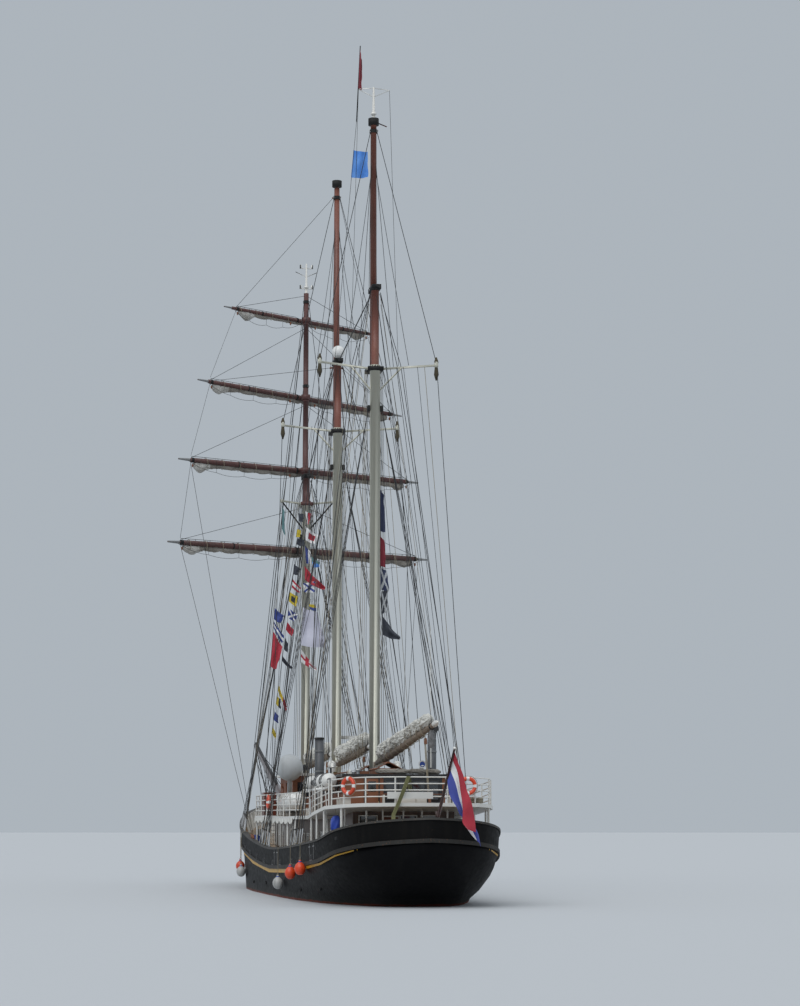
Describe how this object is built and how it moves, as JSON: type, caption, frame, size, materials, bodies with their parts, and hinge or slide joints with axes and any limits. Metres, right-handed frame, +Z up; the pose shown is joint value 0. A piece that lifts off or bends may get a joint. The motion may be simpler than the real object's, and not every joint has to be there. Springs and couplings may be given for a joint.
{
  "type": "three-masted topsail schooner, 1:2 scale model",
  "caption": "Half-size tall ship afloat: whole hull, deckhouses, masts with spreaders, braced yards and swinging booms with furled sails, bowsprit, rudder and screw",
  "frame": {"origin": "amidships on the centreline, at the waterline", "axes": "+X to the bow, +Y to port, +Z up"},
  "size_m": [35.0098, 8.5749, 24.1506],
  "materials": {
    "hull_paint": "gloss black topsides, dull red below the waterline",
    "black_iron": "matt black paint",
    "grey_iron": "satin grey paint",
    "bronze": "dull bronze",
    "white_paint": "satin white paint",
    "white_plastic": "white gel coat and covers",
    "varnished_wood": "varnished red-brown wood",
    "cream_paint": "satin cream paint",
    "brown_paint": "satin red-brown paint",
    "boom_paint": "satin grey-brown paint",
    "canvas": "weathered off-white canvas",
    "flag_cloth": "woven bunting in red, white and blue",
    "wire": "dark served wire"
  },
  "bodies": {
    "ship": {"hull": "hull_paint", "bulwark_port": "hull_paint", "bulwark_starboard": "hull_paint", "anchor_port": "black_iron", "anchor_starboard": "black_iron", "windlass": "grey_iron", "upper_deck": "white_paint", "main_deckhouse": "white_paint", "rail_aft": "white_paint", "rail_port": "white_paint", "rail_starboard": "white_paint", "wheelhouse": "varnished_wood", "wheelhouse_roof": "white_paint", "liferafts_port": "white_plastic", "liferafts_starboard": "white_plastic", "tender_port": "white_plastic", "tender_starboard": "white_plastic", "radome": "white_plastic", "satellite_dome": "white_plastic", "aft_trunk": "varnished_wood", "fore_deckhouse": "varnished_wood", "bowsprit": "varnished_wood", "flagstaff": "varnished_wood", "ensign": "flag_cloth", "mizzen_lower_mast": "cream_paint", "main_lower_mast": "cream_paint", "fore_lower_mast": "cream_paint", "mizzen_topmast": "brown_paint", "main_topmast": "brown_paint", "fore_topmast": "brown_paint", "stack_port": "grey_iron", "stack_starboard": "grey_iron", "mizzen_shrouds_port": "wire", "mizzen_shrouds_starboard": "wire", "main_shrouds_port": "wire", "main_shrouds_starboard": "wire", "fore_shrouds_port": "wire", "fore_shrouds_starboard": "wire", "head_stays": "wire", "triatic_stay_aft": "wire", "triatic_stay_fore": "wire"},
    "rudder": {"rudder": "hull_paint"},
    "propeller": {"propeller": "bronze"},
    "radar_scanner": {"radar_scanner": "white_plastic"},
    "door_port": {"wheelhouse_door_port": "varnished_wood"},
    "door_starboard": {"wheelhouse_door_starboard": "varnished_wood"},
    "mizzen_boom": {"mizzen_boom": "boom_paint", "mizzen_sail": "canvas"},
    "main_boom": {"main_boom": "boom_paint", "main_sail": "canvas"},
    "fore_boom": {"fore_boom": "boom_paint", "fore_sail": "canvas"},
    "lower_topsail_yard": {"lower_topsail_yard": "brown_paint", "lower_topsail_sail": "canvas"},
    "upper_topsail_yard": {"upper_topsail_yard": "brown_paint", "upper_topsail_sail": "canvas"},
    "topgallant_yard": {"topgallant_yard": "brown_paint", "topgallant_sail": "canvas"},
    "royal_yard": {"royal_yard": "brown_paint", "royal_sail": "canvas"}
  },
  "joints": [
    {"name": "rudder_steering", "type": "hinge", "parent": "ship", "child": "rudder", "pos_m": [-10.65, 0, -1.15], "axis": [0, 0, 1], "range_deg": [-35, 35]},
    {"name": "propeller_spin", "type": "hinge", "parent": "ship", "child": "propeller", "pos_m": [-9.85, 0, -1.3], "axis": [1, 0, 0], "continuous": true},
    {"name": "radar_spin", "type": "hinge", "parent": "ship", "child": "radar_scanner", "pos_m": [0.975, -0.575, 4.15], "axis": [0, 0, 1], "continuous": true},
    {"name": "door_port_hinge", "type": "hinge", "parent": "ship", "child": "door_port", "pos_m": [3.87, 1.118, 2.6], "axis": [0, 0, -1], "range_deg": [0, 100]},
    {"name": "door_starboard_hinge", "type": "hinge", "parent": "ship", "child": "door_starboard", "pos_m": [3.87, -1.118, 2.6], "axis": [0, 0, 1], "range_deg": [0, 100]},
    {"name": "mizzen_boom_swing", "type": "hinge", "parent": "ship", "child": "mizzen_boom", "pos_m": [-6.24, 0, 3.31], "axis": [0, 0, 1], "range_deg": [-35, 25]},
    {"name": "main_boom_swing", "type": "hinge", "parent": "ship", "child": "main_boom", "pos_m": [0.36, 0, 3.5], "axis": [0, 0, 1], "range_deg": [-30, 30]},
    {"name": "fore_boom_swing", "type": "hinge", "parent": "ship", "child": "fore_boom", "pos_m": [6.96, 0, 3.575], "axis": [0, 0, 1], "range_deg": [-30, 30]},
    {"name": "lower_topsail_brace", "type": "hinge", "parent": "ship", "child": "lower_topsail_yard", "pos_m": [7.475, 0, 10.25], "axis": [0, 0, 1], "range_deg": [-63, 17]},
    {"name": "upper_topsail_brace", "type": "hinge", "parent": "ship", "child": "upper_topsail_yard", "pos_m": [7.5, 0, 12.75], "axis": [0, 0, 1], "range_deg": [-63, 17]},
    {"name": "topgallant_brace", "type": "hinge", "parent": "ship", "child": "topgallant_yard", "pos_m": [7.5, 0, 15.05], "axis": [0, 0, 1], "range_deg": [-63, 17]},
    {"name": "royal_brace", "type": "hinge", "parent": "ship", "child": "royal_yard", "pos_m": [7.5, 0, 17.5], "axis": [0, 0, 1], "range_deg": [-63, 17]}
  ]
}
